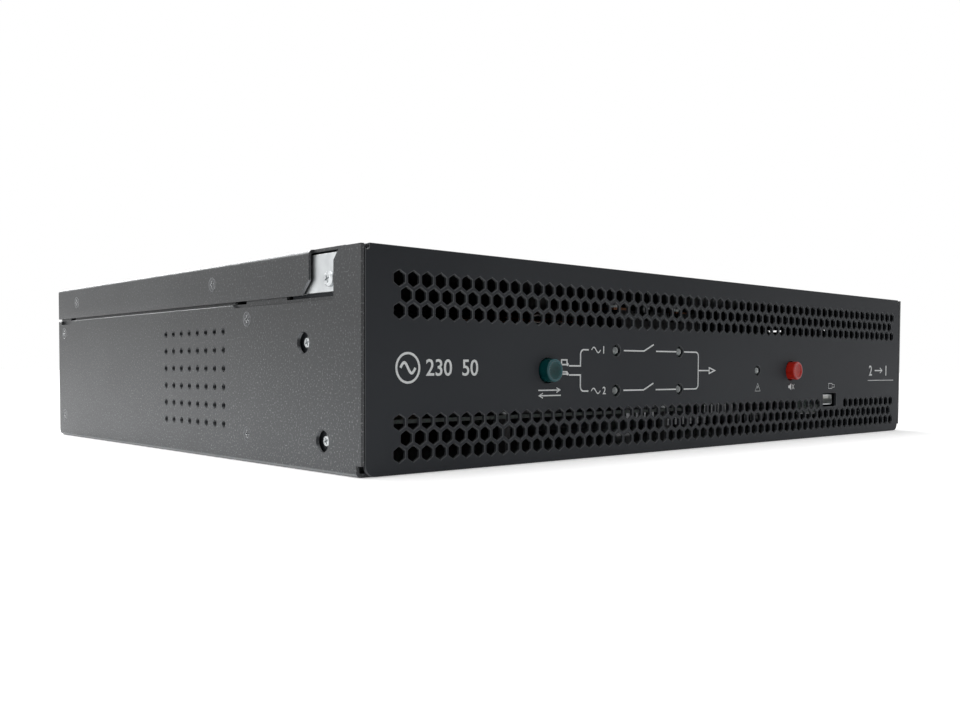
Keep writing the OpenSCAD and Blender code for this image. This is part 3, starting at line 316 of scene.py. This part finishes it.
finishes = {
    "chassis_paint": texturedPaint, "panel_paint": panelPaint, "zinc": zinc, "screw_black": screwBlack,
    "ink": ink, "green_button": greenButton, "red_button": redButton, "black_plastic": blackPlastic,
    "white_nylon": whiteNylon, "light_lens": lightLens, "board_green": boardGreen,
    "transformer_iron": transformerIron, "capacitor_sleeve": capacitorSleeve,
    "heatsink_aluminium": heatsinkAluminium, "copper": copper, "sensor_blue": sensorBlue,
    "wire_red": wireRed, "ribbon_grey": ribbonGrey, "earth_brass": earthBrass,
}
materials = {slot: make().material for slot, make in finishes.items()}
for part in frame["record"]["subparts"]:
    mesh = nodes[part["node"]].data
    mesh.materials.clear()
    mesh.materials.append(materials[part["material_slot"]])
print("finishes made:", len(materials))


# smooth=None keeps the shading that the faces already have
def finishPiece(name, bm, slot, body, smooth=True):
    mesh = bpy.data.meshes.new(name)
    bm.to_mesh(mesh)
    bm.free()
    mesh.materials.append(materials[slot])
    if smooth is not None:
        for face in mesh.polygons:
            face.use_smooth = smooth
    piece = bpy.data.objects.new(name, mesh)
    bpy.context.scene.collection.objects.link(piece)
    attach(piece, body)
    return piece


# Sheet metal with its cut edges broken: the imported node, merged, with a small chamfer on each sharp edge
softEdges = {
    "chassis": 0.22, "top_cover": 0.25, "front_panel": 0.20, "front_flanges": 0.15,
    "left_bracket": 0.2, "right_bracket": 0.2, "rear_panel": 0.15, "rear_flanges": 0.15,
    "countersunk_screws": 0.09, "pan_screws": 0.09,
}
# angles in degrees; a strip is a face narrower than this many mm
softAngle = {"merge": 1, "cut": 40, "shade": 17, "strip": 1.2}
# their fine bend facets leave no room for the full chamfer
tightBends = ("chassis", "top_cover")


def soften(nodeName, width):
    bm = bmesh.new()
    bm.from_mesh(nodes[nodeName].data)
    bmesh.ops.remove_doubles(bm, verts=bm.verts, dist=0.001 * mm)
    bmesh.ops.dissolve_limit(bm, angle_limit=math.radians(softAngle["merge"]), verts=bm.verts, edges=bm.edges,
                             delimit={"NORMAL"})
    cut = math.radians(softAngle["cut"])
    sharp = [edge for edge in bm.edges if edge.is_manifold and edge.calc_face_angle(0) > cut]
    bmesh.ops.bevel(bm, geom=sharp, offset=width * mm, offset_type="OFFSET", affect="EDGES", segments=1,
                    profile=0.5, clamp_overlap=nodeName in tightBends, material=-1)
    # no chamfer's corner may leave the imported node's own box
    low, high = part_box(nodeName)
    for vert in bm.verts:
        for axis in range(3):
            vert.co[axis] = min(max(vert.co[axis], low[axis]), high[axis])
    # only the narrow facets of bends and holes are shaded smooth
    for face in bm.faces:
        face.smooth = 2 * face.calc_area() < softAngle["strip"] * mm * face.calc_perimeter()
    bmesh.ops.triangulate(bm, faces=bm.faces)
    piece = finishPiece(nodeName + "Soft", bm, slotOf[nodeName], bodyOf[nodeName], smooth=None)
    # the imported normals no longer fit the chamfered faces
    for attribute in [a for a in piece.data.attributes if a.name == "custom_normal"]:
        piece.data.attributes.remove(attribute)
    piece.data.set_sharp_from_angle(angle=math.radians(softAngle["shade"]))
    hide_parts(nodeName)


slotOf = {part["node"]: part["material_slot"] for part in frame["record"]["subparts"]}
bodyOf = {node: body for body, owned in frame["record"]["behaviour"]["bodies"].items() for node in owned}
for nodeName, width in softEdges.items():
    soften(nodeName, width)
print("edges broken:", len(softEdges))


# Button caps turned round their own axis: a rounded skirt and a shallow dished disc inside a rim.
# Sizes in mm; the disc's points are (share of its radius, share of its dish)
capShape = {
    "radius": 5.0, "out": 4.5, "back": 5.2, "edge": 0.75, "rimWidth": 0.75, "dish": 0.45, "steps": 72,
    "disc": [(0, 1.35), (0.7, 1.2), (1, 1)], "rim": [(0.2, 0.08), (0.45, 0)], "joint": 0.5,
    "places": {"transfer_button": (-121.0, 39.5), "silence_button": (81.0, 39.5)},
}


def makeCap(nodeName, x, z):
    c = capShape
    inner = c["radius"] - c["edge"] - c["rimWidth"]
    line = [(inner * r, -c["out"] + c["dish"] * d) for r, d in c["disc"]]
    line += [(inner + r, -c["out"] + d) for r, d in c["rim"]]
    for i in range(1, 7):
        turn = math.radians(15 * i)
        corner = c["radius"] - c["edge"]
        line.append((corner + c["edge"] * math.sin(turn), -c["out"] + c["edge"] * (1 - math.cos(turn))))
    line += [(c["radius"], c["joint"]), (c["radius"], c["back"]), (0, c["back"])]
    bm = bmesh.new()
    verts = [bm.verts.new((x * mm + r * mm, faceY + d * mm, z * mm)) for r, d in line]
    edges = [bm.edges.new(pair) for pair in zip(verts, verts[1:])]
    bmesh.ops.spin(bm, geom=verts + edges, cent=(x * mm, faceY, z * mm), axis=(0, 1, 0), angle=math.tau,
                   steps=c["steps"], use_merge=True)
    bmesh.ops.remove_doubles(bm, verts=bm.verts, dist=0.002 * mm)
    bmesh.ops.recalc_face_normals(bm, faces=bm.faces)
    piece = finishPiece(nodeName + "Cap", bm, slotOf[nodeName], bodyOf[nodeName])
    piece.data.set_sharp_from_angle(angle=math.radians(50))
    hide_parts(nodeName)


for nodeName, (x, z) in capShape["places"].items():
    makeCap(nodeName, x, z)
print("button caps made")


# Printed marks: strokes are flattened round lines, areas are filled outlines, digits are plain type
markInk = {"thick": 0.05, "flat": 1.6, "typeSize": 1.42, "bold": 0.012}


def wave(x, z, width, height, count=24):
    return [(x + width * (i / count - 0.5), z + height * math.sin(math.tau * i / count)) for i in range(count + 1)]


def ring(x, z, r, count=32):
    return [(x + r * math.cos(math.tau * i / count), z + r * math.sin(math.tau * i / count)) for i in range(count)]


marks = {
    # (points, line width, closed)
    "strokes": [
        (wave(-198.2, 40.4, 7.2, 2.0), 1.1, False),
        ([(-127, 31.0), (-113.4, 31.0)], 0.55, False),
        ([(-115.6, 32.0), (-113.0, 31.0), (-115.6, 30.0)], 0.5, False),
        ([(-126.4, 28.7), (-112.8, 28.7)], 0.55, False),
        ([(-124.2, 29.7), (-126.8, 28.7), (-124.2, 27.7)], 0.5, False),
        (wave(-89.4, 48.7, 6.2, 1.2), 0.5, False),
        (wave(-89.4, 30.3, 6.2, 1.2), 0.5, False),
        ([(46.1, 32.6), (43.6, 28.4), (48.6, 28.4)], 0.45, True), ([(46.1, 31.2), (46.1, 29.9)], 0.5, False),
        ([(82.2, 31.8), (84.6, 29.0)], 0.45, False), ([(82.2, 29.0), (84.6, 31.8)], 0.45, False),
        ([(124.6, 28.9), (128.9, 28.9), (128.9, 31.9), (124.6, 31.9)], 0.4, True),
        ([(128.9, 29.6), (131.6, 29.6), (131.6, 31.2), (128.9, 31.2)], 0.4, True),
        ([(184.2, 39.6), (194.2, 39.6)], 0.8, False),
        ([(191.6, 41.2), (194.8, 39.6), (191.6, 38.0)], 0.8, False),
        ([(175.0, 33.4), (211.0, 33.4)], 0.4, False),
    ],
    "areas": [
        [ring(-198.2, 40.4, 6.0), ring(-198.2, 40.4, 5.1)],
        [[(78.2, 29.7), (79.4, 29.7), (81.2, 28.5), (81.2, 32.3), (79.4, 31.1), (78.2, 31.1)]],
    ],
    # (digits, left x, base z, height)
    "digits": [
        ("230", -189.3, 37.3, 6.4), ("50", -170.6, 37.3, 6.4), ("1", -84.4, 47.1, 3.4),
        ("2", -84.6, 28.7, 3.4), ("2", 176.4, 36.4, 6.4), ("1", 199.6, 36.4, 6.4),
    ],
}


# Adds a curve or type to the marks as a mesh on the panel's face; a corner is the place of its lower left
def inkMesh(bm, data, depth=1.0, corner=None):
    holder = bpy.data.objects.new("inkLine", data)
    mesh = bpy.data.meshes.new_from_object(holder)
    shift = Matrix()
    if corner:
        left, base = [min(vert.co[axis] for vert in mesh.vertices) for axis in (0, 1)]
        shift = Matrix.Translation((corner[0] - left, corner[1] - base, 0))
    place = Matrix.Translation((0, faceY - markInk["thick"] * mm, 0)) @ Matrix.Rotation(math.pi / 2, 4, "X")
    mesh.transform(place @ Matrix.Diagonal((mm, mm, mm * depth, 1)) @ shift)
    bm.from_mesh(mesh)
    bpy.data.objects.remove(holder)
    bpy.data.meshes.remove(mesh)


def addLine(curve, points, closed):
    spline = curve.splines.new("POLY")
    spline.points.add(len(points) - 1)
    for point, (x, z) in zip(spline.points, points):
        point.co = (x, z, 0, 1)
    spline.use_cyclic_u = closed


def makeMarks():
    bm = bmesh.new()
    for points, width, closed in marks["strokes"]:
        curve = bpy.data.curves.new("stroke", "CURVE")
        curve.dimensions = "3D"
        curve.bevel_depth, curve.bevel_resolution, curve.use_fill_caps = width / 2, 1, True
        addLine(curve, points, closed)
        inkMesh(bm, curve, markInk["thick"] * markInk["flat"] / width)
    for outlines in marks["areas"]:
        curve = bpy.data.curves.new("area", "CURVE")
        curve.dimensions, curve.fill_mode, curve.extrude = "2D", "BOTH", markInk["thick"]
        for outline in outlines:
            addLine(curve, outline, True)
        inkMesh(bm, curve)
    for digits, x, z, height in marks["digits"]:
        type = bpy.data.curves.new("digits", "FONT")
        type.body, type.size, type.offset = digits, height * markInk["typeSize"], height * markInk["bold"]
        type.extrude, type.resolution_u = markInk["thick"], 4
        inkMesh(bm, type, corner=(x, z))
    finishPiece("panelMarks", bm, "ink", "enclosure", smooth=False)


makeMarks()
print("marks printed")


# Camera, floor and light
view = {
    "place": (-426.5, -281.8, 40.3), "yaw": 41.30, "pitch": 2.05, "roll": 0.17,
    "lens": 36.16, "shift": (0.0351, 0.0445),
}


def makeCamera():
    camera = bpy.data.objects.new("camera", bpy.data.cameras.new("camera"))
    camera.data.lens = view["lens"]
    camera.data.sensor_width = 36
    camera.data.shift_x, camera.data.shift_y = view["shift"]
    camera.data.clip_start = 0.01
    turn = Euler((math.radians(90 - view["pitch"]), 0, math.radians(-view["yaw"]))).to_matrix()
    turn = turn @ Matrix.Rotation(math.radians(view["roll"]), 3, "Z")
    x, y, z = view["place"]
    camera.matrix_world = Matrix.Translation((x * mm, faceY + y * mm, z * mm)) @ turn.to_4x4()
    bpy.context.scene.collection.objects.link(camera)
    bpy.context.scene.camera = camera


def makeStage():
    bm = bmesh.new()
    bmesh.ops.create_grid(bm, x_segments=1, y_segments=1, size=12)
    mesh = bpy.data.meshes.new("floor")
    bm.to_mesh(mesh)
    bm.free()
    floor = bpy.data.objects.new("floor", mesh)
    bpy.context.scene.collection.objects.link(floor)
    f = Finish("floorPaper", roughness=0.9, emissionStrength=1.0)
    seen = [f.add("ShaderNodeLightPath", {}, {}, name)
            for name in ("Is Camera Ray", "Is Glossy Ray", "Is Transmission Ray")]
    f.set(baseColor=f.ramp(f.noise(0.4, 2), (0.3, 0.90), (0.7, 0.92)))
    # the paper lights itself more where the lamps no longer reach
    reach = f.add("ShaderNodeVectorMath", {"operation": "LENGTH"}, {0: f.place()}, "Value")
    glow = f.ramp(reach * 0.25, (0.15, 0.42), (0.5, 0.95))
    f.set(emissionColor=f.mix(seen[0] + seen[1] + seen[2], (0.0, 0.0, 0.0), glow))
    mesh.materials.append(f.material)


def makeWorld():
    light = {"ambient": 0.25, "shown": 1.0}
    world = bpy.data.worlds.new("studio")
    world.use_nodes = True
    bpy.context.scene.world = world
    tree = world.node_tree
    background = tree.nodes["Background"]
    background.inputs["Color"].default_value = (1, 1, 1, 1)
    path = tree.nodes.new("ShaderNodeLightPath")
    seen = path.outputs["Is Camera Ray"]
    for name in ("Is Glossy Ray", "Is Transmission Ray"):
        either = tree.nodes.new("ShaderNodeMath")
        either.operation = "MAXIMUM"
        tree.links.new(seen, either.inputs[0])
        tree.links.new(path.outputs[name], either.inputs[1])
        seen = either.outputs[0]
    level = tree.nodes.new("ShaderNodeMapRange")
    level.inputs["To Min"].default_value = light["ambient"]
    level.inputs["To Max"].default_value = light["shown"]
    tree.links.new(seen, level.inputs["Value"])
    tree.links.new(level.outputs[0], background.inputs["Strength"])


def makeLamp(name, place, aim, size, power):
    lamp = bpy.data.objects.new(name, bpy.data.lights.new(name, "AREA"))
    lamp.data.shape = "RECTANGLE"
    lamp.data.size, lamp.data.size_y = size
    lamp.data.energy = power
    lamp.location = place
    lamp.rotation_euler = (Vector(aim) - Vector(place)).to_track_quat("-Z", "Y").to_euler()
    bpy.context.scene.collection.objects.link(lamp)


makeCamera()
makeStage()
makeWorld()
# name: place, aim, size, power
lamps = {
    "top": ((-0.2, 0.2, 1.5), (0, 0, 0), (1.6, 1.0), 20),
    "left": ((-1.7, 0.1, 0.35), (-0.2, 0, 0.04), (1.2, 0.5), 6),
    "rim": ((0.05, 1.25, 0.75), (-0.15, 0.0, 0.08), (1.3, 0.3), 16),
}
for name, settings in lamps.items():
    makeLamp(name, *settings)
print("stage set")

bpy.context.scene.view_settings.view_transform = "Standard"
